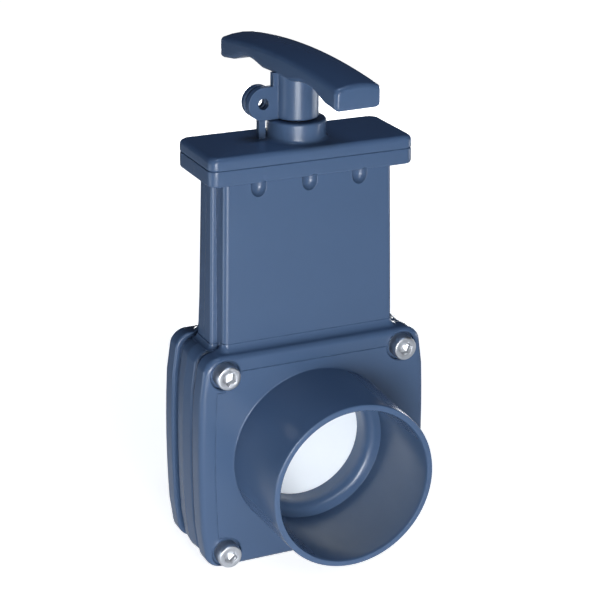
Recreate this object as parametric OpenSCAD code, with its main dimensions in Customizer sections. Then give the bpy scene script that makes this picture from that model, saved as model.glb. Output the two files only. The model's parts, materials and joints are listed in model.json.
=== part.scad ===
// Slide gate valve for solvent-welded pressure pipe, with a push-pull T handle.
// The origin is on the ground, under the middle of the body. X runs across the flange plates,
// Y runs along the pipe from the front socket to the rear one, and Z runs up the stem.

/* [Pipe sockets] */
// Outside diameter of the pipe that is welded into each socket
pipe_d = 63; // [58:0.5:66]
// Clearance on the diameter between the pipe and its socket
pipe_clearance = 0.2; // [0.1:0.05:0.5]
// Depth of each socket from its mouth to its stop
socket_depth = 40; // [30:0.5:46]
// Wall of the socket at its mouth
socket_wall = 2.9; // [2.4:0.1:4]
// Growth of the outer radius from the mouth to the plate
socket_draft = 0.9; // [0:0.1:2]
// How far the socket stands out of the plate
socket_reach = 37.5; // [30:0.5:42]
// Radius of the cove between the socket and the plate
socket_cove = 0.5; // [0.5:0.1:3]
// Chamfer inside the mouth
mouth_chamfer = 1; // [0.4:0.1:1.8]
// Width of the flat ring that stops the pipe
stop_w = 2.6; // [1.5:0.1:3]
// Diameter of the waterway
bore_d = 51; // [40:0.5:53]

/* [Flange plates] */
// Width of the plates beside the gate pocket, at the height of the bore
plate_margin = 18.65; // [17:0.05:22]
// Height of the plates
plate_h = 92; // [90:0.5:104]
// Thickness of each plate
plate_t = 8.8; // [6:0.1:10]
// How much narrower each side is at the corners than in the middle
side_bulge = 2.3; // [0.5:0.1:3]
// Corner radius of the plates
plate_corner = 7; // [4:0.5:9]
// Rounding of the outer edge of the plates
plate_edge = 2.4; // [1:0.1:3]
// Height of the bore above the ground
bore_z = 45.5; // [44:0.5:54]
// Half of the depth of the body, from the joint face to the outside of a plate
body_half = 19.7; // [19:0.1:22]
// Width of the grooves between the plates and the rim along the joint
groove_w = 3.3; // [1.5:0.1:4]
// Depth of those grooves
groove_d = 2.6; // [1.5:0.1:4]
// Set-back of the rim at the joint
rim_inset = 0.3; // [0:0.1:1.5]
// How much further back the rim is at the grooves
rim_draft = 0.6; // [0:0.1:1]
// Distance of the clamp screws from the gate pocket, across the plate
screw_margin = 7.35; // [7:0.05:9]
// Distance of the clamp screws from the top and the foot of the plates, on average
screw_edge = 6.9; // [6:0.1:8]

/* [Neck] */
// Height of the neck between the plates and the top flange
neck_h = 68.7; // [66:0.1:90]
// Wall of the neck beside the gate, at the top
neck_side = 4.55; // [4.2:0.05:6]
// How much further each side stands out at the foot of the neck
neck_taper = 1.4; // [0:0.1:2]
// Depth of the neck at its foot
neck_d_foot = 28.4; // [25:0.2:29]
// Depth of the neck at its top
neck_d_top = 25.6; // [25:0.2:27]
// Rounding of the upright edges of the neck
neck_edge = 2.2; // [1:0.1:3]
// Radius of the cove at the foot of the neck
foot_cove = 3; // [1:0.1:3.2]
// How far the clamping ribs stand out of the sides of the neck
rib_out = 2; // [1:0.1:3]
// Extra reach of the ribs at their foot
rib_flare = 0.9; // [0:0.1:1.5]
// Radius of the cove at the foot of the ribs
rib_cove = 2; // [1:0.1:3]
// Thickness of the pair of clamping ribs at their top
rib_t = 9; // [6:0.2:12]
// Thickness of the pair of clamping ribs at their foot
rib_t_foot = 15; // [6:0.2:16]
// Wall between the neck chamber and the outside at the top
neck_wall = 3.5; // [3:0.1:3.8]

/* [Top flange and bonnet] */
// Width of the flange and the bonnet
cap_w = 86.6; // [84:0.2:92]
// Depth of the flange and the bonnet
cap_d = 34.8; // [33:0.1:37]
// Thickness of the top flange
flange_t = 6.5; // [5:0.1:9]
// Thickness of the bonnet plate
bonnet_t = 5.1; // [4.8:0.1:8]
// Corner radius of the flange and the bonnet in plan
cap_corner = 3.5; // [3:0.1:5]
// Rounding of the top edge of the bonnet
bonnet_edge = 2; // [0.8:0.1:2.5]
// Radius of the stem collar
collar_r = 11.8; // [11:0.1:13]
// Height of the stem collar
collar_h = 7.8; // [6.6:0.1:12]
// Distance between the bonnet screws in a row
bonnet_screw_pitch = 21.6; // [18:0.2:24]

/* [Gate and stem] */
// Thickness of the gate
gate_t = 14; // [13:0.1:15]
// Overlap of the gate round the bore
gate_lap = 5.5; // [5.3:0.1:6]
// Sliding clearance on each side of the gate
slide_clearance = 0.2; // [0.15:0.05:0.4]
// Clearance round the edge of the gate
edge_clearance = 0.35; // [0.3:0.05:0.5]
// Diameter of the stem
stem_d = 10; // [9:0.1:10.6]
// Running clearance on the stem's radius
stem_clearance = 0.05; // [0.03:0.01:0.1]
// Diameter of the cross pin in the gate
pin_d = 4; // [3:0.1:5]

/* [Handle] */
// Length of the handle bar
bar_l = 97.6; // [90:0.5:110]
// Width of the handle bar
bar_w = 19.4; // [17:0.1:21]
// Height of the top of the bar above the bonnet plate
bar_top = 35.2; // [33:0.1:44]
// Thickness of the bar over the hub
bar_t = 8.6; // [7:0.1:10]
// Drop of the top of the bar at its ends
bar_drop = 3.4; // [1:0.1:5]
// Extra drop of the underside at the ends
bar_hook = 0.4; // [0:0.1:1.5]
// Rounding of the edges of the bar
bar_edge = 2.2; // [1:0.1:2.6]
// Crown of the top of the bar across its width
bar_crown = 1; // [0:0.1:1.6]
// Depth of the finger recesses under the bar
recess_depth = 2.3; // [0:0.1:2.6]
// Distance of the finger recesses from the stem
recess_at = 23; // [21:0.5:27]
// Radius of the finger recesses
recess_r = 30; // [20:1:50]
// Radius of the hub round the stem
hub_r = 8.8; // [8.4:0.1:10]
// Gap between the collar and the hub when the gate is closed
hub_gap = 0.5; // [0.4:0.1:3]
// Turn of the handle on its stem, with the front end to the right
handle_turn = 3.4; // [0:0.2:5]

/* [Locking ears] */
// Radius of each ear
ear_r = 6.5; // [5.5:0.1:7]
// Thickness of each ear
ear_t = 2.7; // [2:0.1:3]
// Distance of the lock hole from the stem axis
ear_x = 14.9; // [14:0.1:17]
// Height of the lock hole above the bonnet plate
ear_z = 14.8; // [14:0.1:18]
// Diameter of the lock hole
lock_hole_d = 4.5; // [3:0.1:5]
// Gap between the two ears
ear_gap = 0.5; // [0.3:0.05:1]
// Width of the post under the fixed ear
post_w = 2.8; // [2.4:0.1:4]

/* [Seals] */
// Thickness of the cord between the body halves
cord_d = 2; // [1.6:0.1:2.2]
// Width of each seat seal
seat_w = 3.2; // [2.6:0.1:3.4]
// Depth of each seat seal
seat_h = 3; // [2:0.1:4]
// Thickness of the bonnet gasket
gasket_t = 1.2; // [0.8:0.1:2]
// Thickness of the stem O-rings
oring_d = 2; // [1.6:0.1:2.2]

/* [Fasteners] */
// Thread diameter of the clamp screws
screw_d = 6; // [5:0.5:6]
// Diameter of the clamp screw heads
screw_head_d = 10; // [8.5:0.1:10.4]
// Height of the clamp screw heads
screw_head_h = 6; // [5:0.1:7]
// Depth of the recess for each screw head
head_recess = 2; // [1:0.1:4]
// Width across the flats of the nuts
nut_flats = 10; // [8:0.1:10.4]
// Height of the nuts
nut_h = 5; // [4:0.1:6]
// Diameter of the bonnet screws
bonnet_screw_d = 2.9; // [2.2:0.1:3.2]
// Diameter of the bonnet screw heads
bonnet_head_d = 5; // [4:0.1:5.4]

/* [Hidden] */

$fn = 96;
// Clearance between fixed pieces that fit into one another
fit = 0.05;
// Clearance round the cord, whose groove is cut to a round path
cord_fit = 0.1;
// Thickness of the slices that are hulled
slice = 0.02;
// Walls from the gate pocket out to the cord's groove and from the bore out to a seat seal
cord_wall = 1.1;
seat_wall = 1.7;
// Clearance of a clamp screw in its hole, and of its head and nut in their recesses
screw_clearance = 0.3;
head_clearance = 1.2;
nut_clearance = 0.15;

pvc = [0.33, 0.41, 0.54];
rubber = [0.07, 0.07, 0.08];
steel = [0.8, 0.81, 0.82];
brass = [0.79, 0.65, 0.35];
natural = [0.93, 0.93, 0.9];

socket_r = (pipe_d + pipe_clearance) / 2;
socket_out = socket_r + socket_wall;
bore_r = bore_d / 2;
// The joint face between the body halves is the plane y = 0
plate_front = -body_half;
mouth_y = plate_front - socket_reach;
stop_y = mouth_y + socket_depth;
groove_y = plate_front + plate_t;
rim_y = groove_y + groove_w;
rim_edge = 1.4;
plate_back_edge = 1;
plate_top = plate_h;
neck_top = plate_top + neck_h;
joint_z = neck_top + flange_t;
bonnet_top = joint_z + bonnet_t;
collar_top = bonnet_top + collar_h;
hub_bottom = collar_top + hub_gap;

gate_r = bore_r + gate_lap;
gate_half = gate_t / 2;
pocket_r = gate_r + edge_clearance;
pocket_half = gate_half + slide_clearance;
core_wall = 4;
core_rim = 3;
core_skin = 2.5;
core_foot = 8;
core_corner = 2;
// The gate is clear of the bore when it is all the way up
travel = gate_r + bore_r;
// The open gate stands just short of the foot of the bonnet
spigot_h = 2;
spigot_foot = neck_top - spigot_h;
top_play = 0.2;
gate_top = spigot_foot - travel - top_play;
chamber_half = neck_d_top / 2 - neck_wall;
chamber_w = 2 * (pocket_r - 4);
chamber_z = bore_z + pocket_r + 4;
rib_edge = 1.2;
plate_w = 2 * (pocket_r + plate_margin);
screw_x = pocket_r + screw_margin;
screw_span_z = plate_h - 2 * screw_edge;
neck_w_top = 2 * (pocket_r + neck_side);
neck_w_foot = neck_w_top + 2 * neck_taper;
cord_r = cord_d / 2;
cord_x = pocket_r + cord_wall + cord_r;
seat_in = bore_r + seat_wall;
seat_out = seat_in + seat_w;

stem_r = stem_d / 2;
pin_drop = 8;
stem_socket = 20;
pin_z = gate_top - pin_drop;
pin_l = gate_t - 0.4;
stem_foot = gate_top - stem_socket;
gland_r = stem_r + stem_clearance + oring_d + 0.1;
bush_h = 4;
lower_ring_z = spigot_foot + bush_h;
spacer_h = 2;
upper_ring_z = lower_ring_z + oring_d + spacer_h;
gland_top = upper_ring_z + oring_d + 0.1;
wiper_t = 2.2;
wiper_w = 2.6;
wiper_r = stem_r + wiper_w;

hub_top = bonnet_top + bar_top - bar_crown - bar_t;
post_x = -ear_x - 0.2;
collar_cove = 1.6;
entry_l = 4.5;
recess_chamfer = 0.5;
line_inset = 6.3;
line_w = 0.4;
line_depth = 0.25;
line_hook = 0.7;
insert_r = 6.4;
insert_h = 8;
insert_z = hub_top - 5;
thread_r = stem_r - 1;
ear_y = ear_t / 2;

head_y = plate_front + head_recess;
nut_recess = 1;
nut_y = body_half - nut_recess - nut_h;
cap_screw_set = 1.2;
cap_screw_y = (neck_d_top + cap_d) / 4 - cap_screw_set;
bonnet_hole = 4;
bonnet_screw_end = 0.5;
bonnet_head_h = 1.8;
bonnet_head_sink = 2.8;
scallop_r = bonnet_head_d / 2 + 0.9;
scallop_h = 7.1;

// A rectangle with round corners, centred on the origin
module rounded_rect(w, d, r) {
    square([w - 2 * r, d], center = true);
    square([w, d - 2 * r], center = true);
    for (x = [-1, 1], y = [-1, 1]) {
        translate([x * (w / 2 - r), y * (d / 2 - r)]) circle(r);
    }
}

// A flat shape drawn in X and Z, with its thickness running back from y0 to y1
module upright(y0, y1) {
    translate([0, y1, 0]) rotate([90, 0, 0]) linear_extrude(y1 - y0) children();
}

// A solid turned about the bore axis, drawn as [radius, y]
module about_bore() {
    translate([0, 0, bore_z]) rotate([-90, 0, 0]) rotate_extrude() children();
}

// A round hole or bar along Y
module along_y(x, z, r, y0, y1, sides = 48) {
    translate([x, y0, z]) rotate([-90, 0, 0]) cylinder(h = y1 - y0, r = r, $fn = sides);
}

// Places a child at each clamp screw
module at_screws() {
    for (x = [-1, 1], z = [-1, 1]) {
        translate([x * screw_x, 0, bore_z + z * screw_span_z / 2]) children();
    }
}

// Section of a cove that runs outwards along X and upwards along Y
module cove_section(r) {
    difference() {
        translate([-0.4, -0.4]) square(r + 0.4);
        translate([r, r]) circle(r, $fn = 48);
    }
}

// Outline of a flange plate, drawn in X and Z. The sides are shallow arcs.
function corner_points(inset, sx, sz, a0) = [
    for (i = [0:10])
        let (a = a0 + i * 9, r = max(plate_corner - inset, 0.5),
             cx = plate_w / 2 - side_bulge - inset - r, cz = plate_h / 2 - inset - r)
            [sx * cx + r * cos(a), sz * cz + r * sin(a) + plate_h / 2]
];
function side_points(inset, sx, up) = [
    for (t = up ? [-0.6:0.2:0.6] : [0.6:-0.2:-0.6])
        [sx * (plate_w / 2 - inset - side_bulge * t * t),
         plate_h / 2 + t * (plate_h / 2 - plate_corner) / 0.8]
];
function plate_points(inset) = concat(
    side_points(inset, 1, true), corner_points(inset, 1, 1, 0), corner_points(inset, -1, 1, 90),
    side_points(inset, -1, false), corner_points(inset, -1, -1, 180), corner_points(inset, 1, -1, 270));

// A slab with the plate's outline and rounded edges, from y0 back to y1
module plate_slab(y0, y1, inset, edge0, edge1, draft = 0) {
    hull() {
        for (a = [0:22.5:90]) {
            upright(y0 + edge0 * (1 - sin(a)), y0 + edge0 * (1 - sin(a)) + slice)
                polygon(plate_points(inset + draft + edge0 * (1 - cos(a))));
            if (edge1 > 0) {
                upright(y1 - edge1 * (1 - sin(a)) - slice, y1 - edge1 * (1 - sin(a)))
                    polygon(plate_points(inset + edge1 * (1 - cos(a))));
            }
        }
        if (edge1 == 0) {
            upright(y1 - slice, y1) polygon(plate_points(inset));
        }
    }
}

// Front half of a rounded rectangle, cut off at y = 0
module half_rect(w, d, r) {
    intersection() {
        rounded_rect(w, d, r, $fn = 24);
        translate([-w, -d]) square([2 * w, d]);
    }
}

// Outside of the neck, with its ribs along the joint face
module neck_outside() {
    z0 = plate_top - 8;
    hull() {
        translate([0, 0, z0]) linear_extrude(slice) half_rect(neck_w_foot, neck_d_foot, neck_edge);
        translate([0, 0, neck_top]) linear_extrude(slice) half_rect(neck_w_top, neck_d_top, neck_edge);
    }
    hull() {
        translate([0, 0, z0])
            linear_extrude(slice) half_rect(neck_w_foot + 2 * (rib_out + rib_flare), rib_t_foot, rib_edge);
        translate([0, 0, neck_top])
            linear_extrude(slice) half_rect(neck_w_top + 2 * rib_out, rib_t, rib_edge);
    }
}

// Coves round the foot of an upright block, w wide and d deep, that stands at height z
module foot_coves(w, d, edge, z, r, back) {
    x = w / 2 - edge;
    y = d / 2 - edge;
    translate([0, 0, z]) {
        translate([x, -y - edge, 0]) rotate([0, -90, 0]) rotate([0, 0, -90])
            linear_extrude(2 * x) cove_section(r);
        for (s = [0, 1]) mirror([s, 0, 0]) {
            translate([x, -y, 0]) rotate([0, 0, -90]) rotate_extrude(angle = 90)
                translate([edge, 0]) cove_section(r);
            translate([x + edge, back, 0]) rotate([90, 0, 0]) linear_extrude(y + back) cove_section(r);
        }
    }
}

// Half of the top flange, with the edges eased
module top_flange() {
    hull() {
        for (e = [[0, 1], [0.3, 0.3], [1, 0]]) {
            translate([0, 0, neck_top + e[0]])
                linear_extrude(slice) half_rect(cap_w - 2 * e[1], cap_d - 2 * e[1], cap_corner);
            translate([0, 0, joint_z - e[0] * 0.5 - slice])
                linear_extrude(slice) half_rect(cap_w - e[1], cap_d - e[1], cap_corner);
        }
    }
}

// Outside of the pipe socket, with its cove and eased rim
module socket_outside() {
    r1 = socket_out + socket_draft;
    about_bore() difference() {
        polygon([[0, mouth_y], [socket_out - 0.8, mouth_y], [socket_out - 0.25, mouth_y + 0.25],
                 [socket_out, mouth_y + 0.8], [r1, plate_front - socket_cove],
                 [r1 + socket_cove, plate_front], [r1 + socket_cove, plate_front + 1],
                 [0, plate_front + 1]]);
        translate([r1 + socket_cove, plate_front - socket_cove]) circle(socket_cove, $fn = 48);
    }
}

// Half section of the recess for a bonnet screw, with a round end below the flange
module scallop_section() {
    polygon(concat([[0, 0]],
                   [for (a = [15:15:90]) [scallop_r * sin(a), 4 * (1 - cos(a))]],
                   [[scallop_r, scallop_h + bonnet_head_sink], [0, scallop_h + bonnet_head_sink]]));
}

// Area inside the line that the mould's insert leaves, notched below and above the screws at its left
module insert_area(inset) {
    notch = screw_head_d / 2 + head_clearance + line_hook + inset - line_inset;
    difference() {
        polygon(plate_points(inset));
        for (z = [-1, 1]) {
            translate([-plate_w / 2 - screw_x, bore_z + z * screw_span_z / 2 - notch]) square([plate_w / 2, 2 * notch]);
        }
    }
}

// Fine line left by the insert in the face of a plate, along its top and its left side
module insert_line() {
    recess_r = screw_head_d / 2 + head_clearance + recess_chamfer;
    upright(plate_front - 1, plate_front + line_depth) intersection() {
        difference() {
            insert_area(line_inset);
            insert_area(line_inset + line_w);
            translate([screw_x - recess_r, 0]) square([plate_w, plate_top]);
        }
        union() {
            translate([-plate_w / 2, bore_z - screw_span_z / 2 + recess_r])
                square([plate_w / 2 - screw_x + recess_r, screw_span_z - recess_r]);
            translate([-screw_x, bore_z + screw_span_z / 2 - line_inset]) square([plate_w, 2 * line_inset]);
        }
    }
}

// Rounded edge of the waterway, from the stop ring in
function waterway_entry() = [
    for (a = [0:15:90])
        [bore_r + (socket_r - stop_w - bore_r) * (1 - sin(a)), stop_y + entry_l * (1 - cos(a))]
];

// Everything that is hollow in a body half
module half_hollows() {
    about_bore() polygon([[0, mouth_y - 1], [socket_r + mouth_chamfer + 0.5, mouth_y - 1],
                          [socket_r + mouth_chamfer * 0.6, mouth_y],
                          [socket_r, mouth_y + mouth_chamfer], [socket_r, stop_y],
                          each waterway_entry(), [bore_r, 1], [0, 1]]);
    upright(-pocket_half, 1) {
        translate([0, bore_z]) circle(pocket_r);
        translate([-pocket_r, bore_z]) square([2 * pocket_r, joint_z - bore_z + 1]);
    }
    translate([0, 0, chamber_z]) linear_extrude(joint_z - chamber_z + 1)
        rounded_rect(chamber_w, 2 * chamber_half, 1.5);
    about_bore() translate([seat_in, -pocket_half - seat_h]) square([seat_w, seat_h + 0.5]);
    cord(cord_r + cord_fit, joint_z);
    translate([0, 0, joint_z - gasket_t]) linear_extrude(gasket_t + 1) gasket_outline(fit);
    at_screws() along_y(0, 0, screw_d / 2 + screw_clearance, -body_half - 1, 1);
    for (i = [-1:1]) {
        translate([i * bonnet_screw_pitch, -cap_screw_y, 0]) {
            translate([0, 0, neck_top - 1])
                cylinder(h = flange_t + 2, r = bonnet_screw_d / 2 + 0.15, $fn = 32);
            translate([0, 0, neck_top - scallop_h]) rotate_extrude($fn = 32) scallop_section();
        }
    }
}

// Seal cord path between the halves, a U round the gate pocket
module cord(r, top) {
    translate([0, 0, bore_z]) rotate([90, 0, 0]) rotate([0, 0, 180]) rotate_extrude(angle = 180)
        translate([cord_x, 0]) circle(r, $fn = 32);
    for (x = [-1, 1]) {
        translate([x * cord_x, 0, bore_z]) cylinder(h = top - bore_z, r = r, $fn = 32);
    }
}

// Outline of the bonnet gasket
module gasket_outline(grow) {
    rounded_rect(2 * (cord_x + cord_r + 1.2 + grow), 2 * (chamber_half + 2.2 + grow), 2);
}

// A body half as moulded, in front of the joint face
module body_half_shape() {
    difference() {
        union() {
            plate_slab(plate_front, groove_y, 0, plate_edge, plate_back_edge);
            plate_slab(groove_y - plate_back_edge - 1, rim_y + rim_edge + 1, groove_d, 0, 0);
            plate_slab(rim_y, 0, rim_inset, rim_edge, 0, rim_draft);
            neck_outside();
            foot_coves(neck_w_foot, neck_d_foot, neck_edge, plate_top, foot_cove, groove_y);
            foot_coves(neck_w_foot + 2 * (rib_out + rib_flare), rib_t_foot, rib_edge,
                       plate_top - rim_inset - rim_draft / 2, rib_cove, 0);
            top_flange();
            socket_outside();
        }
        half_hollows();
        insert_line();
    }
}

module front_body() {
    color(pvc) difference() {
        body_half_shape();
        at_screws() {
            along_y(0, 0, screw_head_d / 2 + head_clearance, plate_front - 1, head_y);
            translate([0, plate_front - recess_chamfer, 0]) rotate([-90, 0, 0])
                cylinder(h = 2 * recess_chamfer, r1 = screw_head_d / 2 + head_clearance + 2 * recess_chamfer,
                         r2 = screw_head_d / 2 + head_clearance, $fn = 48);
        }
    }
}

module rear_body() {
    color(pvc) difference() {
        mirror([0, 1, 0]) body_half_shape();
        at_screws() translate([0, nut_y, 0]) rotate([-90, 0, 0])
            cylinder(h = nut_h + nut_recess + 1, d = (nut_flats + 2 * nut_clearance) / cos(30), $fn = 6);
    }
}

module body_gasket() {
    color(rubber) cord(cord_r, joint_z - gasket_t);
}

// Seat seal of the front half, with a rounded lip towards the gate
module seat_seal() {
    tip = -pocket_half + slide_clearance / 2;
    back = -pocket_half - seat_h + fit;
    about_bore() {
        translate([seat_in + fit, back]) square([seat_w - 2 * fit, seat_h - 1.2]);
        translate([seat_in + 0.7, back]) square([seat_w - 1.4, seat_h - 0.3]);
        translate([(seat_in + seat_out) / 2, tip - 0.8]) circle(0.8, $fn = 32);
    }
}

module front_seat_seal() {
    color(rubber) seat_seal();
}

module rear_seat_seal() {
    color(rubber) mirror([0, 1, 0]) seat_seal();
}

// The gate is drawn closed. Its top is cored out on both sides of the stem.
module gate() {
    core_x = stem_r + core_wall;
    core_w = gate_r - core_x - core_rim;
    color(natural) difference() {
        upright(-gate_half, gate_half) {
            translate([0, bore_z]) circle(gate_r);
            translate([-gate_r, bore_z]) square([2 * gate_r, gate_top - bore_z]);
        }
        translate([0, 0, stem_foot - fit]) cylinder(h = gate_top, r = stem_r + fit);
        for (x = [-1, 1]) {
            translate([x * (core_x + core_w / 2), 0, bore_z + core_foot])
                linear_extrude(gate_top) rounded_rect(core_w, gate_t - 2 * core_skin, core_corner);
        }
        along_y(0, pin_z, pin_d / 2 + fit, -gate_t, gate_t, 32);
    }
}

module gate_pin() {
    color(steel) along_y(0, pin_z, pin_d / 2, -pin_l / 2, pin_l / 2, 32);
}

// The stem has a threaded end in the handle and a cross hole in its foot
module stem() {
    shoulder = insert_z - fit;
    color(steel) difference() {
        union() {
            translate([0, 0, stem_foot]) cylinder(h = 1, r1 = stem_r - 0.8, r2 = stem_r);
            translate([0, 0, stem_foot + 1]) cylinder(h = shoulder - stem_foot - 1, r = stem_r);
            translate([0, 0, shoulder]) cylinder(h = insert_h - 1, r = thread_r);
        }
        along_y(0, pin_z, pin_d / 2 + fit, -stem_d, stem_d, 32);
    }
}

// Pad of the bonnet, with its round edges
module bonnet_plate() {
    hull() {
        for (a = [0:22.5:90]) {
            translate([0, 0, bonnet_top - bonnet_edge * (1 - sin(a)) - slice]) linear_extrude(slice)
                rounded_rect(cap_w - 2 * bonnet_edge * (1 - cos(a)), cap_d - 2 * bonnet_edge * (1 - cos(a)),
                             cap_corner, $fn = 32);
        }
        for (e = [[0, 0.6], [0.5, 0]]) {
            translate([0, 0, joint_z + e[0]]) linear_extrude(slice)
                rounded_rect(cap_w - e[1], cap_d - e[1], cap_corner, $fn = 32);
        }
    }
}

// Collar round the stem, with a cove at its foot and a round lip
module collar() {
    translate([0, 0, bonnet_top]) rotate_extrude() {
        translate([collar_r, 0]) cove_section(collar_cove);
        translate([0, -1]) square([collar_r, collar_h]);
        translate([0, 0]) square([collar_r - 1, collar_h]);
        translate([collar_r - 1, collar_h - 1]) circle(1, $fn = 32);
    }
}

// Ear of the bonnet on its narrow post, behind the ear of the handle
module fixed_ear() {
    y0 = ear_y + ear_gap;
    difference() {
        upright(y0, y0 + ear_t) {
            translate([-ear_x, bonnet_top + ear_z]) circle(ear_r);
            translate([post_x, bonnet_top - 1]) square([post_w, ear_z]);
        }
        translate([0, 0, bonnet_top]) cylinder(h = bar_top, r = hub_r + ear_gap);
    }
}

module bonnet() {
    spigot_d = 2 * chamber_half - 2 * fit;
    chamber_foot = spigot_foot - 1;
    color(pvc) difference() {
        union() {
            bonnet_plate();
            collar();
            fixed_ear();
            translate([0, 0, spigot_foot]) linear_extrude(joint_z - spigot_foot + 1)
                rounded_rect(chamber_w - 2 * fit, spigot_d, 1.4);
        }
        translate([0, 0, chamber_foot]) cylinder(h = bonnet_top, r = stem_r + 0.3);
        translate([0, 0, chamber_foot]) cylinder(h = gland_top - chamber_foot, r = gland_r);
        translate([0, 0, collar_top - wiper_t]) cylinder(h = wiper_t + 1, r = wiper_r);
        for (x = [-1, 1]) {
            translate([x * (chamber_w / 4 + gland_r / 2 + 0.4), 0, spigot_foot - 1])
                linear_extrude(flange_t + 1) rounded_rect(chamber_w / 2 - gland_r - 4, spigot_d - 4, 2);
        }
        for (i = [-1:1], y = [-1, 1]) {
            translate([i * bonnet_screw_pitch, y * cap_screw_y, joint_z - 1])
                cylinder(h = bonnet_hole + 1, r = bonnet_screw_d / 2 + fit, $fn = 32);
        }
        along_y(-ear_x, bonnet_top + ear_z, lock_hole_d / 2, -ear_r, ear_r);
    }
}

module bonnet_gasket() {
    color(rubber) translate([0, 0, joint_z - gasket_t]) linear_extrude(gasket_t) difference() {
        gasket_outline(0);
        square([2 * pocket_r, 2 * pocket_half], center = true);
        rounded_rect(chamber_w, 2 * chamber_half, 1.5);
    }
}

// A sleeve round the stem that fills the gland
module gland_ring(z, h, r_out) {
    translate([0, 0, z]) difference() {
        cylinder(h = h, r = r_out);
        translate([0, 0, -1]) cylinder(h = h + 2, r = stem_r + stem_clearance);
    }
}

module gland_bush() {
    color(natural) gland_ring(spigot_foot, bush_h, gland_r - fit);
}

module oring_spacer() {
    color(natural) gland_ring(lower_ring_z + oring_d, spacer_h, gland_r - fit);
}

module oring(z) {
    translate([0, 0, z + oring_d / 2]) rotate_extrude()
        translate([stem_r + stem_clearance + oring_d / 2, 0]) circle(oring_d / 2, $fn = 32);
}

module lower_oring() {
    color(rubber) oring(lower_ring_z);
}

module upper_oring() {
    color(rubber) oring(upper_ring_z);
}

module wiper_ring() {
    color(rubber) gland_ring(collar_top - wiper_t + fit, wiper_t - fit, wiper_r - fit);
}

// Height of the bar's underside and of its top, above the ground, at a distance from the stem
function bar_over(y) = bonnet_top + bar_top - bar_drop * pow(2 * y / bar_l, 2);
function bar_arch(y) = hub_top - (bar_drop + bar_hook) * pow(2 * y / bar_l, 2);
function bar_recess(y) =
    let (d = abs(y) - recess_at)
        abs(d) < recess_r ? bar_arch(recess_at) + recess_depth - recess_r + sqrt(recess_r * recess_r - d * d)
                          : 0;
function bar_under(y) = max(bar_arch(y), bar_recess(y));

// Section of the bar at y, drawn in X and Z, with its edges rounded and its top crowned
function bar_section(y) =
    let (d = bar_l / 2 - abs(y), e = bar_edge, s = d < e ? e - sqrt(e * e - pow(e - d, 2)) : 0,
         w = bar_w / 2 - s, r = max(e - s, 0.3), low = bar_under(y) + s,
         high = bar_over(y) - bar_crown - s)
        concat(
            [for (i = [0:4]) let (a = 180 + i * 22.5) [-w + r + r * cos(a), y, low + r + r * sin(a)]],
            [for (i = [0:4]) let (a = 270 + i * 22.5) [w - r + r * cos(a), y, low + r + r * sin(a)]],
            [for (i = [0:4]) let (a = i * 22.5) [w - r + r * cos(a), y, high - r + r * sin(a)]],
            [for (t = [0.6, 0, -0.6]) [t * (w - r), y, high + bar_crown * (1 - t * t)]],
            [for (i = [0:4]) let (a = 90 + i * 22.5) [-w + r + r * cos(a), y, high - r + r * sin(a)]]);

// Skin over rings of points, closed at both ends
module skin(rings) {
    n = len(rings[0]);
    m = len(rings);
    polyhedron(
        points = [for (ring = rings, p = ring) p],
        faces = concat(
            [[for (i = [n - 1:-1:0]) i]],
            [for (k = [0:m - 2], i = [0:n - 1]) let (j = (i + 1) % n)
                [k * n + i, k * n + j, (k + 1) * n + j, (k + 1) * n + i]],
            [[for (i = [0:n - 1]) (m - 1) * n + i]]));
}

// The bar runs along the pipe, from one end's rounding to the other's
module bar() {
    end = bar_l / 2;
    round_end = [for (a = [0:18:72]) end - bar_edge * (1 - sin(a))];
    last = end - bar_edge;
    steps = 24;
    middle = [for (i = [0:steps]) -last + i * 2 * last / steps];
    stations = concat([for (i = [4:-1:1]) -round_end[i]], middle, [for (i = [1:4]) round_end[i]]);
    skin([for (y = stations) bar_section(y)]);
}

// Web from the hub to the ear that lines up with the bonnet's ear
module handle_ear() {
    upright(-ear_y, ear_y) {
        translate([-ear_x, bonnet_top + ear_z]) circle(ear_r);
        translate([-ear_x, hub_bottom]) square([ear_x, bonnet_top + ear_z + ear_r - hub_bottom]);
        translate([-hub_r - 2, hub_bottom]) square([hub_r, hub_top - hub_bottom + 1]);
    }
}

module handle() {
    color(pvc) difference() {
        union() {
            rotate([0, 0, handle_turn]) {
                bar();
                handle_ear();
            }
            translate([0, 0, hub_bottom]) rotate_extrude() {
                square([hub_r - 0.6, 2]);
                translate([hub_r - 0.6, 0.6]) circle(0.6, $fn = 32);
                translate([0, 0.6]) square([hub_r, hub_top - hub_bottom + 0.6]);
            }
        }
        translate([0, 0, hub_bottom - 1]) cylinder(h = insert_z - hub_bottom + 1, r = stem_r + fit);
        translate([0, 0, insert_z]) cylinder(h = insert_h, r = insert_r + fit / 2);
        along_y(-ear_x, bonnet_top + ear_z, lock_hole_d / 2, -ear_r, ear_r);
    }
}

// Threaded insert moulded into the handle, with a groove round its middle
module handle_insert() {
    color(brass) translate([0, 0, insert_z]) difference() {
        cylinder(h = insert_h - fit, r = insert_r);
        translate([0, 0, -1]) cylinder(h = insert_h + 0.4, r = thread_r + 0.02);
        translate([0, 0, insert_h / 2 - 0.6]) difference() {
            cylinder(h = 1.2, r = insert_r + 1);
            translate([0, 0, -1]) cylinder(h = 4, r = insert_r - 0.8);
        }
    }
}

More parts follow.
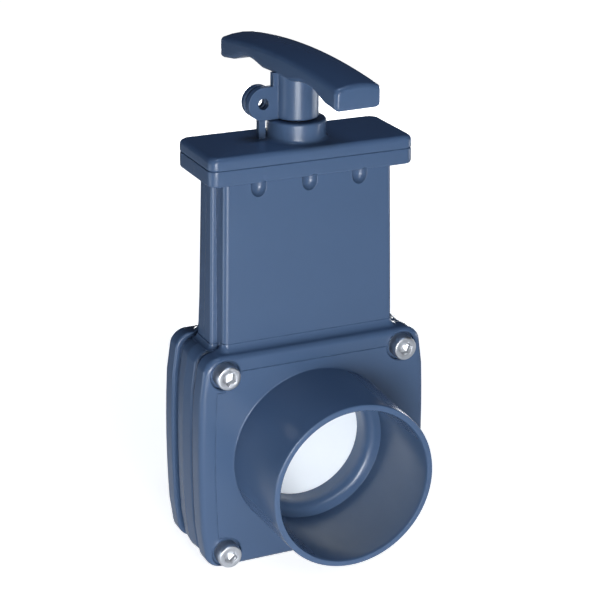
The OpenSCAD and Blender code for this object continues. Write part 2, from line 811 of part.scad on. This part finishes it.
// Cap screws with a hexagon socket, whose shanks end inside the nuts
module body_screws() {
    shank = nut_y + nut_h - head_y;
    color(steel) at_screws() difference() {
        union() {
            along_y(0, 0, screw_head_d / 2, head_y - screw_head_h + 0.4, head_y);
            translate([0, head_y - screw_head_h, 0]) rotate([-90, 0, 0])
                cylinder(h = 0.4, r1 = screw_head_d / 2 - 0.4, r2 = screw_head_d / 2, $fn = 48);
            along_y(0, 0, screw_d / 2, head_y, head_y + shank);
        }
        translate([0, head_y - screw_head_h - 1, 0]) rotate([-90, 0, 0])
            cylinder(h = 1 + screw_head_h / 2, d = screw_d * 0.85 / cos(30), $fn = 6);
    }
}

module body_nuts() {
    color(steel) at_screws() translate([0, nut_y + fit, 0]) rotate([-90, 0, 0]) difference() {
        cylinder(h = nut_h, d = nut_flats / cos(30), $fn = 6);
        translate([0, 0, -1]) cylinder(h = nut_h + 2, r = screw_d / 2 + fit, $fn = 48);
    }
}

// Self-tapping screws, driven up through the top flange into the bonnet
module bonnet_screw_row(side) {
    head_seat = neck_top + bonnet_head_sink;
    color(steel) for (i = [-1:1]) translate([i * bonnet_screw_pitch, side * cap_screw_y, head_seat]) {
        translate([0, 0, -bonnet_head_h]) cylinder(h = bonnet_head_h, r = bonnet_head_d / 2, $fn = 32);
        cylinder(h = joint_z + bonnet_hole - bonnet_screw_end - head_seat, r = bonnet_screw_d / 2, $fn = 32);
    }
}

module front_bonnet_screws() {
    bonnet_screw_row(-1);
}

module rear_bonnet_screws() {
    bonnet_screw_row(1);
}

front_body();
rear_body();
body_gasket();
front_seat_seal();
rear_seat_seal();
gate();
gate_pin();
stem();
bonnet();
bonnet_gasket();
gland_bush();
lower_oring();
oring_spacer();
upper_oring();
wiper_ring();
handle();
handle_insert();
body_screws();
body_nuts();
front_bonnet_screws();
rear_bonnet_screws();
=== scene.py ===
"""Looks of the knife gate valve: blue-grey plastic, stainless screws, a white gate, a pale studio.

Lengths are in metres, or in mm where a comment says so. The origin is on the ground under the
middle of the body, X runs across the flange plates, Y along the pipe from front to rear, and Z up
the stem.
"""
import json
import math

import bmesh
import bpy
from mathutils import Matrix, Vector


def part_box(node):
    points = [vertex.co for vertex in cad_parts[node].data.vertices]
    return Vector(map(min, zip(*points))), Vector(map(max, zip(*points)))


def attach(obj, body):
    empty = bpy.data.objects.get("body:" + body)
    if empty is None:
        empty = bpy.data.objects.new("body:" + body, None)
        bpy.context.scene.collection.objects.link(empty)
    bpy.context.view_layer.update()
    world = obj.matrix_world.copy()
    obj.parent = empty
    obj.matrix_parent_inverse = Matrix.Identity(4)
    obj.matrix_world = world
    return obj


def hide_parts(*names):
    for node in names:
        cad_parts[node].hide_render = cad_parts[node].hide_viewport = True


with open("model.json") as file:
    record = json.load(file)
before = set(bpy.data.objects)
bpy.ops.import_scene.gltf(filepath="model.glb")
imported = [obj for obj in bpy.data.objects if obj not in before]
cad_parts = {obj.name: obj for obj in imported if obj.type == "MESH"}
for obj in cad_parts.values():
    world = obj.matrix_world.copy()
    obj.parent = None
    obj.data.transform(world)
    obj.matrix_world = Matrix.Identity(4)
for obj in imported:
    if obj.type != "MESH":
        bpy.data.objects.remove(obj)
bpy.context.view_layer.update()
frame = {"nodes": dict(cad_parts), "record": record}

MM = 0.001

# Clamp screw's head, in mm. The rounding of its face is given in height and inwards, in degrees
HEAD_R = 5.0
HEAD_H = 6.0
HEAD_CHAMFER = 0.25
HEAD_ROUND = 0.6
HEAD_ROUND_IN = 0.55
HEAD_ROUND_STEPS = (0, 25, 50, 70, 90)
HEAD_FACE_R = 3.1
HEAD_SIDES = 144
KNURLS = 48
KNURL_DEPTH = 0.14
KNURL_POWER = 1.5
KNURL_HEIGHTS = (0.25, 0.6, 2.2, 3.8, 5.25)
# Its hexagon socket, in mm. Depths are from the head's face
KEY_FLATS = 5.1
KEY_MOUTH = 0.12
KEY_MOUTH_R = 3.0
KEY_MOUTH_DEPTH = 0.05
KEY_WALL = (0.3, 2.9)
KEY_END = 3.0
KEY_END_SIZE = 0.96
DRILL_END = 3.7
DRILL_TIP_R = 0.25
# Its shank, in mm. The thread fades in and out over a number of steps
THREAD_R = 3.0
THREAD_PITCH = 1.0
THREAD_L = 7.0
THREAD_STEP = 0.125
THREAD_DEPTH = 0.55
THREAD_FADE_IN = 8
THREAD_FADE_OUT = 4
THREAD_LEAST = 0.4
SHANK_START = 0.1
SHANK_END_IN = 0.6
SHANK_TIP_R = 0.2
SHANK_SIDES = 48
# How far a shank stays inside its CAD solid, in mm
INSIDE = 0.02

# Nut of the clamp screw, in mm. Each step of its chamfer is a height and a growth in radius
NUT_FLATS = 10.0
NUT_FACE_IN = 0.3
NUT_CHAMFER = ((0.0, 0.0), (0.0, 0.15), (0.22, 0.38), (0.4, 0.7), (0.6, 1.05))
NUT_BORE_PLAY = 0.05
NUT_BORE_CHAMFER = 0.4

# Bonnet screw, in mm: shank, pan head and cross recess. The steps of its dome are in degrees
TAP_R = 1.45
TAP_POINT_R = 0.5
TAP_POINT_L = 1.0
TAP_HEAD_R = 2.5
TAP_HEAD_H = 1.8
TAP_HEAD_CHAMFER = 0.12
TAP_RIM_LOW = 0.15
TAP_RIM_HIGH = 0.75
TAP_DOME_STEPS = (20, 35, 48)
TAP_DOME_POWER = 0.8
TAP_CROSS_REACH = 1.45
TAP_CROSS_HALF = 0.36
# Height in the head, and size, of the cross recess from its mouth to its end
TAP_CROSS_STEPS = ((1.72, 1.0), (1.2, 0.9), (0.5, 0.6))
TAP_SIDES = 96
TAP_SHANK_SIDES = 32

# Turn of the first screw and from each screw to the next, in radians
CLAMP_TURN = (0.35, 0.8)
TAP_TURN = (0.5, 0.7)

# Edges sharper than this stay sharp, and points closer than this are one
SHARP = math.radians(32)
WELD = 1e-6

# Camera, as fitted to the photograph. The lens and the sensor are in mm
CAMERA_PLACE = Vector((-0.2991, -0.6485, 0.3761))
CAMERA_YAW = math.radians(-24.92)
CAMERA_PITCH = math.radians(20.89)
CAMERA_ROLL = math.radians(0.45)
CAMERA_LENS = 113.34
SENSOR_WIDTH = 36.0
CLIP_NEAR = 0.01
CLIP_FAR = 20.0

# Colours, linear
PVC = (0.058, 0.098, 0.178)
RUBBER = (0.012, 0.012, 0.014)
WHITE_PLASTIC = (0.88, 0.91, 0.93)
STEEL = (0.66, 0.67, 0.69)
BRASS = (0.56, 0.40, 0.14)
FLOOR = (0.82, 0.82, 0.82)
WHITE = (1.0, 1.0, 1.0)
ROOM = (0.92, 0.95, 1.0)
DAYLIGHT = (0.96, 0.99, 1.03)
SKYLIGHT = (0.62, 0.85, 1.22)
SHADE_LIGHT = (0.82, 0.95, 1.12)

# The part of a noise that runs between a finish's two colours, and between its two roughnesses
COLOUR_BAND = (0.35, 0.65)
ROUGH_BAND = (0.3, 0.7)
# Rubbed edges of the plastic: seeming radius, the dot product of the edge's normal with the face's
# where the wear is full and where it ends, the noise and the part of it that makes the wear patchy,
# its most and how pale it gets
WEAR_RADIUS = 0.0007
WEAR_FULL = 0.84
WEAR_END = 0.97
WEAR_NOISE = (160.0, 3.0)
WEAR_BAND = (0.42, 0.62)
WEAR_MOST = 0.35
WEAR_SHADE = 1.7
# The plastic's slow waves, and its mirror-like part
WAVE_NOISE = (26.0, 1.0)
WAVE_STRENGTH = 0.03
WAVE_HEIGHT = 0.0004
PVC_IOR = 1.5
PVC_SPECULAR = 0.42
# Rays that find the seeming radius of an edge
BEVEL_RAYS = 6

FLOOR_REACH = 3.0
FLOOR_DROP = 0.0001
# What the floor adds to its own light, for the camera and for everything else: the distances from
# the origin between which it changes, and its strength at the near one and at the far one
FLOOR_LIFT = (0.12, 0.60, 0.80, 1.0)
FLOOR_GLOW = (0.10, 0.22, 0.28, 0.0)
# Heights of a direction at which the room has its low strength and its high one
ROOM_HEIGHTS = (-0.1, 0.7)
ROOM_LOW = 0.03
ROOM_HIGH = 0.02

# Each lamp's name, azimuth and elevation in degrees and distance, all seen from LAMP_AIM, then its
# width, height, watts and colour. Azimuth -90 is the front of the valve
LAMP_AIM = Vector((0.0, 0.0, 0.07))
LAMPS = (
    ("key_front", -108, 2, 0.78, 0.36, 0.18, 4.6, DAYLIGHT),
    ("high_front", -95, 28, 0.60, 0.25, 0.15, 0.7, DAYLIGHT),
    ("low_front", -114, -9, 0.30, 0.25, 0.04, 0.14, DAYLIGHT),
    ("low_left", 172, -5, 0.36, 0.25, 0.10, 0.26, SHADE_LIGHT),
    ("rear", 66, -3, 0.75, 0.95, 0.12, 3.4, DAYLIGHT),
    ("right", -6, -3, 0.62, 0.45, 0.12, 0.8, DAYLIGHT),
    ("overhead", -90, 85, 0.80, 0.35, 0.20, 1.25, SKYLIGHT),
)


class Nodes:
    """Short names for the nodes of one material or world."""

    def __init__(self, tree):
        self.tree = tree
        self.tree.nodes.clear()

    def add(self, kind, **values):
        node = self.tree.nodes.new(kind)
        for name, value in values.items():
            setattr(node, name, value)
        return node

    def link(self, out, into):
        self.tree.links.new(out, into)

    def noise(self, scale, detail=3.0, roughness=0.5, distortion=0.0):
        """Noise in the object's own coordinates, so that it stays put on the piece."""
        place = self.add("ShaderNodeTexCoord")
        node = self.add("ShaderNodeTexNoise")
        node.inputs["Scale"].default_value = scale
        node.inputs["Detail"].default_value = detail
        node.inputs["Roughness"].default_value = roughness
        node.inputs["Distortion"].default_value = distortion
        self.link(place.outputs["Object"], node.inputs["Vector"])
        return node.outputs["Fac"]

    def ramp(self, value, low, high, out_low, out_high):
        """Maps low to high onto out_low to out_high, and stops at both ends."""
        node = self.add("ShaderNodeMapRange")
        node.inputs["From Min"].default_value = low
        node.inputs["From Max"].default_value = high
        node.inputs["To Min"].default_value = out_low
        node.inputs["To Max"].default_value = out_high
        self.link(value, node.inputs["Value"])
        return node.outputs["Result"]

    def mix(self, factor, a, b):
        """Mixes two colours, each a tuple or a socket."""
        node = self.add("ShaderNodeMix", data_type="RGBA")
        for socket, colour in ((node.inputs[6], a), (node.inputs[7], b)):
            if isinstance(colour, tuple):
                socket.default_value = (*colour, 1.0)
            else:
                self.link(colour, socket)
        self.link(factor, node.inputs[0])
        return node.outputs[2]

    def bump(self, height, strength, distance, under=None):
        node = self.add("ShaderNodeBump")
        node.inputs["Strength"].default_value = strength
        node.inputs["Distance"].default_value = distance
        self.link(height, node.inputs["Height"])
        if under is not None:
            self.link(under, node.inputs["Normal"])
        return node.outputs["Normal"]

    def rounded(self, radius):
        """The surface's normal as if its sharp edges had this radius."""
        node = self.add("ShaderNodeBevel", samples=BEVEL_RAYS)
        node.inputs["Radius"].default_value = radius
        return node.outputs["Normal"]

    def edge(self, radius, full, end):
        """1 on sharp edges and 0 on flat faces."""
        geometry = self.add("ShaderNodeNewGeometry")
        dot = self.add("ShaderNodeVectorMath", operation="DOT_PRODUCT")
        self.link(self.rounded(radius), dot.inputs[0])
        self.link(geometry.outputs["Normal"], dot.inputs[1])
        return self.ramp(dot.outputs["Value"], end, full, 0.0, 1.0)

    def for_camera(self, others, camera, output):
        """Sends one shader to the camera's own rays and another to all the rest."""
        path = self.add("ShaderNodeLightPath")
        choose = self.add("ShaderNodeMixShader")
        self.link(path.outputs["Is Camera Ray"], choose.inputs["Fac"])
        self.link(others, choose.inputs[1])
        self.link(camera, choose.inputs[2])
        self.link(choose.outputs["Shader"], output.inputs["Surface"])


def shade(colour, factor):
    return tuple(channel * factor for channel in colour)


def finish(name, colours, clouds, rough, rough_noise, grain, strength, height, rounding=None):
    """Material whose colour and roughness wander, with a fine grain and softened sharp edges.

    Each noise is a scale, a detail, and where they are given a roughness and a distortion. The
    nodes, the shader, and the sockets of colour and normal are returned too, to build on.
    """
    made = bpy.data.materials.new(name)
    made.use_nodes = True
    nodes = Nodes(made.node_tree)
    shader = nodes.add("ShaderNodeBsdfPrincipled")
    output = nodes.add("ShaderNodeOutputMaterial")
    nodes.link(shader.outputs["BSDF"], output.inputs["Surface"])
    cloud = nodes.ramp(nodes.noise(*clouds), *COLOUR_BAND, 0.0, 1.0)
    colour = nodes.mix(cloud, *colours)
    roughness = nodes.ramp(nodes.noise(*rough_noise), *ROUGH_BAND, *rough)
    under = nodes.rounded(rounding) if rounding else None
    normal = nodes.bump(nodes.noise(*grain), strength, height, under)
    nodes.link(colour, shader.inputs["Base Color"])
    nodes.link(roughness, shader.inputs["Roughness"])
    nodes.link(normal, shader.inputs["Normal"])
    return made, nodes, shader, colour, normal


def pvc_material():
    """Moulded rigid vinyl: satin skin, faint flow clouds, and paler rubbed edges.

    Its roughness ends at 0.271, because one that reached 0.285 left pale islands on flat faces in
    the denoised picture.
    """
    made, nodes, shader, body, skin = finish(
        "moulded_pvc",
        colours=(shade(PVC, 0.98), shade(PVC, 1.02)), clouds=(22.0, 4.0, 0.6, 0.4),
        rough=(0.245, 0.271), rough_noise=(60.0, 5.0, 0.65),
        grain=(1100.0, 2.0), strength=0.05, height=0.00005, rounding=0.0004)
    patchy = nodes.ramp(nodes.noise(*WEAR_NOISE), *WEAR_BAND, 0.0, WEAR_MOST)
    wear = nodes.add("ShaderNodeMath", operation="MULTIPLY")
    nodes.link(nodes.edge(WEAR_RADIUS, WEAR_FULL, WEAR_END), wear.inputs[0])
    nodes.link(patchy, wear.inputs[1])
    worn = nodes.mix(wear.outputs["Value"], body, shade(PVC, WEAR_SHADE))
    nodes.link(worn, shader.inputs["Base Color"])
    waves = nodes.bump(nodes.noise(*WAVE_NOISE), WAVE_STRENGTH, WAVE_HEIGHT, skin)
    nodes.link(waves, shader.inputs["Normal"])
    shader.inputs["IOR"].default_value = PVC_IOR
    shader.inputs["Specular IOR Level"].default_value = PVC_SPECULAR
    return made


def rubber_material():
    return finish(
        "black_rubber",
        colours=(RUBBER, shade(RUBBER, 1.8)), clouds=(90.0, 3.0),
        rough=(0.5, 0.68), rough_noise=(300.0, 2.0),
        grain=(1800.0, 2.0), strength=0.2, height=0.0001)[0]


def white_material():
    """Natural white plastic with the sheen of a sliding face."""
    return finish(
        "natural_white_plastic",
        colours=(WHITE_PLASTIC, shade(WHITE_PLASTIC, 0.97)), clouds=(30.0, 3.0),
        rough=(0.30, 0.42), rough_noise=(70.0, 3.0),
        grain=(900.0, 2.0), strength=0.06, height=0.0001, rounding=0.0005)[0]


def metal_material(name, colour, rough):
    """Turned metal: fine grain and a slightly uneven shine."""
    made, _, shader, _, _ = finish(
        name,
        colours=(colour, shade(colour, 0.86)), clouds=(220.0, 4.0, 0.6),
        rough=rough, rough_noise=(500.0, 4.0, 0.7),
        grain=(2400.0, 3.0), strength=0.08, height=0.00006, rounding=0.0002)
    shader.inputs["Metallic"].default_value = 1.0
    return made


MATERIALS = {
    "pvc": pvc_material(),
    "rubber": rubber_material(),
    "gate_plastic": white_material(),
    "stainless": metal_material("stainless_steel", STEEL, (0.36, 0.46)),
    "brass": metal_material("turned_brass", BRASS, (0.28, 0.38)),
}
NODE_SLOTS = {row["node"]: row["material_slot"] for row in frame["record"]["subparts"]}


def skin_group():
    """Node group that joins a skin's split vertices and shades it smooth up to the SHARP angle."""
    group = bpy.data.node_groups.new("smooth_skin", "GeometryNodeTree")
    for in_out in ("INPUT", "OUTPUT"):
        group.interface.new_socket("Geometry", in_out=in_out, socket_type="NodeSocketGeometry")
    source, bare, weld, faces, edges, result = (group.nodes.new(kind) for kind in (
        "NodeGroupInput", "GeometryNodeRemoveAttribute", "GeometryNodeMergeByDistance",
        "GeometryNodeSetShadeSmooth", "GeometryNodeSetShadeSmooth", "NodeGroupOutput"))
    bare.inputs["Name"].default_value = "custom_normal"
    weld.inputs["Distance"].default_value = WELD
    faces.domain = "FACE"
    edges.domain = "EDGE"
    angle = group.nodes.new("GeometryNodeInputMeshEdgeAngle")
    soft = group.nodes.new("FunctionNodeCompare")
    soft.operation = "LESS_THAN"
    soft.inputs["B"].default_value = SHARP
    group.links.new(angle.outputs["Unsigned Angle"], soft.inputs["A"])
    group.links.new(soft.outputs["Result"], edges.inputs["Shade Smooth"])
    chain = (source, bare, weld, faces, edges, result)
    for one, other in zip(chain, chain[1:]):
        group.links.new(one.outputs["Geometry"], other.inputs["Geometry"])
    return group


SKIN = skin_group()


def smooth(node_object):
    """Shades a CAD node as its round surfaces are, and leaves its own mesh as it is."""
    node_object.modifiers.new("skin", "NODES").node_group = SKIN
    weigh = node_object.modifiers.new("flats_stay_flat", "WEIGHTED_NORMAL")
    weigh.mode = "FACE_AREA"
    weigh.keep_sharp = True


def dress(piece, slot):
    """Gives a piece the finish of a record slot."""
    piece.data.materials.clear()
    piece.data.materials.append(MATERIALS[slot])


def ring(radius, height, sides):
    """One turn of points round +Y; radius is a function of the angle."""
    turn = [2 * math.pi * i / sides for i in range(sides)]
    return [(radius(a) * math.cos(a), height, radius(a) * math.sin(a)) for a in turn]


def round_ring(radius, height, sides):
    return ring(lambda a: radius, height, sides)


def hexagon(flats):
    """Radius of a hexagon at an angle, from its width across the flats."""
    return lambda a: flats / 2 / math.cos(a % (math.pi / 3) - math.pi / 6)


def cross(reach, half_width):
    """Radius of a plus sign at an angle."""
    tiny = 1e-6

    def radius(a):
        along, across = abs(math.cos(a)) + tiny, abs(math.sin(a)) + tiny
        return max(min(reach / along, half_width / across),
                   min(reach / across, half_width / along))
    return radius


def turned(rings, closed=False):
    """Points and faces of a skin over rings, capped at both ends or closed like a tyre."""
    sides = len(rings[0])
    count = len(rings)
    points = [point for one in rings for point in one]
    faces = []
    for k in range(count if closed else count - 1):
        here, there = k * sides, (k + 1) % count * sides
        for i in range(sides):
            after = (i + 1) % sides
            faces.append((here + i, there + i, there + after, here + after))
    if not closed:
        faces.append(tuple(range(sides)))
        faces.append(tuple((count - 1) * sides + i for i in reversed(range(sides))))
    return points, faces


def piece_of(name, shells, spots, slot, node):
    """Makes one piece in place of a node, from shells drawn round +Y in mm and put at each spot."""
    points, faces = [], []
    for place, turn in spots:
        for shell_points, shell_faces in shells:
            start = len(points)
            points += [tuple(Vector(place) + turn @ (Vector(p) * MM)) for p in shell_points]
            faces += [tuple(start + i for i in face) for face in shell_faces]
    mesh = bpy.data.meshes.new(name)
    mesh.from_pydata(points, [], faces)
    shaped = bmesh.new()
    shaped.from_mesh(mesh)
    bmesh.ops.recalc_face_normals(shaped, faces=shaped.faces)
    shaped.to_mesh(mesh)
    shaped.free()
    mesh.shade_smooth()
    mesh.set_sharp_from_angle(angle=SHARP)
    piece = bpy.data.objects.new(name, mesh)
    bpy.context.scene.collection.objects.link(piece)
    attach(piece, "valve")
    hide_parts(node)
    dress(piece, slot)


def cap_head():
    """Knurled head of the clamp screw, from its underside at 0 to its socket, towards -Y."""
    def knurl(a):
        return HEAD_R - KNURL_DEPTH * abs(math.sin(a * KNURLS / 2)) ** KNURL_POWER

    def rounded_edge(degrees):
        a = math.radians(degrees)
        return round_ring(HEAD_R - KNURL_DEPTH - HEAD_ROUND_IN * (1 - math.cos(a)),
                          -(HEAD_H - HEAD_ROUND + HEAD_ROUND * math.sin(a)), HEAD_SIDES)

    def mouth(a):
        return min(key(a) + KEY_MOUTH, KEY_MOUTH_R)

    key = hexagon(KEY_FLATS)
    head = [round_ring(r, 0.0, HEAD_SIDES) for r in (THREAD_R, HEAD_R - HEAD_CHAMFER)]
    head += [ring(knurl, -height, HEAD_SIDES) for height in KNURL_HEIGHTS]
    head += [rounded_edge(degrees) for degrees in HEAD_ROUND_STEPS]
    head += [round_ring(HEAD_FACE_R, -HEAD_H, HEAD_SIDES),
             ring(mouth, -HEAD_H + KEY_MOUTH_DEPTH, HEAD_SIDES)]
    head += [ring(key, -HEAD_H + depth, HEAD_SIDES) for depth in KEY_WALL]
    head += [ring(lambda a: key(a) * KEY_END_SIZE, -HEAD_H + KEY_END, HEAD_SIDES),
             round_ring(DRILL_TIP_R, -HEAD_H + DRILL_END, HEAD_SIDES)]
    head.reverse()
    return turned(head)


def threaded_shank(length):
    """Shank of the clamp screw towards +Y, with a thread that runs in and out at its ends."""
    radius = THREAD_R - INSIDE
    shank = [round_ring(radius, y, SHANK_SIDES) for y in (SHANK_START, length - THREAD_L)]
    steps = int(THREAD_L / THREAD_STEP)
    for k in range(1, steps):
        y = length - THREAD_L + k * THREAD_STEP
        fade = min(1.0, k / THREAD_FADE_IN, (steps - k) / THREAD_FADE_OUT + THREAD_LEAST)

        def groove(a):
            turn = (y / THREAD_PITCH - a / (2 * math.pi)) % 1.0
            return radius - THREAD_DEPTH * fade * abs(turn - 0.5) * 2

        shank.append(ring(groove, y, SHANK_SIDES))
    shank += [round_ring(r, length, SHANK_SIDES) for r in (THREAD_R - SHANK_END_IN, SHANK_TIP_R)]
    return turned(shank)


def nut(height):
    """Hexagon nut from 0 to height, with round chamfers on both faces."""
    flats = hexagon(NUT_FLATS)
    rings = [ring(lambda a: min(flats(a), NUT_FLATS / 2 - NUT_FACE_IN + rise), y, HEAD_SIDES)
             for y, rise in NUT_CHAMFER]
    body = rings + [[(x, height - y, z) for x, y, z in one] for one in reversed(rings)]
    bore_r = THREAD_R + NUT_BORE_PLAY
    mouth_r = bore_r + NUT_BORE_CHAMFER
    bore = [round_ring(mouth_r, height, HEAD_SIDES),
            round_ring(bore_r, height - NUT_BORE_CHAMFER, HEAD_SIDES),
            round_ring(bore_r, NUT_BORE_CHAMFER, HEAD_SIDES),
            round_ring(mouth_r, 0.0, HEAD_SIDES)]
    return [turned(body + bore, closed=True)]


def tapping_screw(length):
    """Small pan-head screw with a cross recess: its head hangs below 0 towards -Y."""
    def dome(degrees):
        a = math.radians(degrees)
        return round_ring(TAP_HEAD_R * math.cos(a) ** TAP_DOME_POWER,
                          -TAP_RIM_HIGH - (TAP_HEAD_H - TAP_RIM_HIGH) * math.sin(a), TAP_SIDES)

    recess = cross(TAP_CROSS_REACH, TAP_CROSS_HALF)
    head = [round_ring(TAP_R, 0.0, TAP_SIDES),
            round_ring(TAP_HEAD_R - TAP_HEAD_CHAMFER, 0.0, TAP_SIDES),
            round_ring(TAP_HEAD_R, -TAP_RIM_LOW, TAP_SIDES),
            round_ring(TAP_HEAD_R, -TAP_RIM_HIGH, TAP_SIDES)]
    head += [dome(degrees) for degrees in TAP_DOME_STEPS]
    head += [ring(lambda a: recess(a) * size, -height, TAP_SIDES)
             for height, size in TAP_CROSS_STEPS]
    head.reverse()
    shaft = [round_ring(TAP_R - INSIDE, 0.0, TAP_SHANK_SIDES),
             round_ring(TAP_R - INSIDE, length - TAP_POINT_L, TAP_SHANK_SIDES),
             round_ring(TAP_POINT_R, length, TAP_SHANK_SIDES)]
    return [turned(head), turned(shaft)]


def fasteners():
    """Detailed screws and nuts, each at the place of its CAD solid."""
    low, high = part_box("body_screws")
    x, z0, z1 = high[0] - HEAD_R * MM, low[2] + HEAD_R * MM, high[2] - HEAD_R * MM
    corners = ((-x, z0), (x, z0), (x, z1), (-x, z1))
    seat = low[1] + HEAD_H * MM
    first, step = CLAMP_TURN
    spots = [((cx, seat, cz), Matrix.Rotation(first + step * i, 3, "Y"))
             for i, (cx, cz) in enumerate(corners)]
    screw = [cap_head(), threaded_shank((high[1] - seat) / MM)]
    piece_of("clamp_screws", screw, spots, "stainless", "body_screws")

    low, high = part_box("body_nuts")
    spots = [((cx, low[1], cz), Matrix.Identity(3)) for cx, cz in corners]
    piece_of("clamp_nuts", nut((high[1] - low[1]) / MM), spots, "stainless", "body_nuts")

    upright = Matrix.Rotation(math.pi / 2, 3, "X")
    first, step = TAP_TURN
    for name, node in (("front_cover_screws", "front_bonnet_screws"),
                       ("rear_cover_screws", "rear_bonnet_screws")):
        low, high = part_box(node)
        pitch = high[0] - TAP_HEAD_R * MM
        y = (low[1] + high[1]) / 2
        seat = low[2] + TAP_HEAD_H * MM
        spots = [((i * pitch, y, seat), Matrix.Rotation(first + step * i, 3, "Z") @ upright)
                 for i in (-1, 0, 1)]
        piece_of(name, tapping_screw((high[2] - seat) / MM), spots, "stainless", node)


def floor_material():
    """Pale floor: white with the object's shadow for the camera, faintly aglow for other rays."""
    made = bpy.data.materials.new("pale_floor")
    made.use_nodes = True
    nodes = Nodes(made.node_tree)
    output = nodes.add("ShaderNodeOutputMaterial")
    diffuse = nodes.add("ShaderNodeBsdfDiffuse")
    diffuse.inputs["Color"].default_value = (*FLOOR, 1.0)
    place = nodes.add("ShaderNodeNewGeometry")
    reach = nodes.add("ShaderNodeVectorMath", operation="LENGTH")
    nodes.link(place.outputs["Position"], reach.inputs[0])
    looks = []
    for added in (FLOOR_GLOW, FLOOR_LIFT):
        light = nodes.add("ShaderNodeEmission")
        nodes.link(nodes.ramp(reach.outputs["Value"], *added), light.inputs["Strength"])
        both = nodes.add("ShaderNodeAddShader")
        nodes.link(diffuse.outputs["BSDF"], both.inputs[0])
        nodes.link(light.outputs["Emission"], both.inputs[1])
        looks.append(both.outputs["Shader"])
    nodes.for_camera(*looks, output)
    return made


def make_floor():
    mesh = bpy.data.meshes.new("floor")
    corners = ((-1, -1), (1, -1), (1, 1), (-1, 1))
    points = [(FLOOR_REACH * x, FLOOR_REACH * y, 0) for x, y in corners]
    mesh.from_pydata(points, [], [(0, 1, 2, 3)])
    floor = bpy.data.objects.new("floor", mesh)
    floor.location.z = -FLOOR_DROP
    bpy.context.scene.collection.objects.link(floor)
    mesh.materials.append(floor_material())


def make_world():
    """A dim room that lights the object a little, and white where the camera sees past it."""
    world = bpy.data.worlds.new("studio")
    bpy.context.scene.world = world
    world.use_nodes = True
    nodes = Nodes(world.node_tree)
    output = nodes.add("ShaderNodeOutputWorld")
    place = nodes.add("ShaderNodeTexCoord")
    height = nodes.add("ShaderNodeSeparateXYZ")
    nodes.link(place.outputs["Generated"], height.inputs["Vector"])
    room = nodes.add("ShaderNodeBackground")
    room.inputs["Color"].default_value = (*ROOM, 1.0)
    strength = nodes.ramp(height.outputs["Z"], *ROOM_HEIGHTS, ROOM_LOW, ROOM_HIGH)
    nodes.link(strength, room.inputs["Strength"])
    white = nodes.add("ShaderNodeBackground")
    white.inputs["Color"].default_value = (*WHITE, 1.0)
    white.inputs["Strength"].default_value = 1.0
    nodes.for_camera(room.outputs["Background"], white.outputs["Background"], output)


def make_lights():
    for name, azimuth, elevation, distance, width, height, watts, colour in LAMPS:
        lamp = bpy.data.lights.new(name, "AREA")
        lamp.shape = "RECTANGLE"
        lamp.size = width
        lamp.size_y = height
        lamp.energy = watts
        lamp.color = colour
        holder = bpy.data.objects.new(name, lamp)
        turn = (Matrix.Rotation(math.radians(azimuth), 3, "Z")
                @ Matrix.Rotation(math.radians(-elevation), 3, "Y"))
        holder.location = LAMP_AIM + turn @ Vector((distance, 0.0, 0.0))
        holder.rotation_euler = (LAMP_AIM - holder.location).to_track_quat("-Z", "Y").to_euler()
        holder.visible_camera = False
        bpy.context.scene.collection.objects.link(holder)


def make_camera():
    camera = bpy.data.cameras.new("camera")
    camera.lens = CAMERA_LENS
    camera.sensor_width = SENSOR_WIDTH
    camera.clip_start = CLIP_NEAR
    camera.clip_end = CLIP_FAR
    holder = bpy.data.objects.new("camera", camera)
    holder.matrix_world = (Matrix.Translation(CAMERA_PLACE)
                           @ Matrix.Rotation(CAMERA_YAW, 4, "Z")
                           @ Matrix.Rotation(math.pi / 2 - CAMERA_PITCH, 4, "X")
                           @ Matrix.Rotation(CAMERA_ROLL, 4, "Z"))
    bpy.context.scene.collection.objects.link(holder)
    bpy.context.scene.camera = holder


for node_name, node_object in frame["nodes"].items():
    dress(node_object, NODE_SLOTS[node_name])
    smooth(node_object)
fasteners()
make_floor()
make_world()
make_lights()
make_camera()
bpy.context.scene.view_settings.view_transform = "Standard"
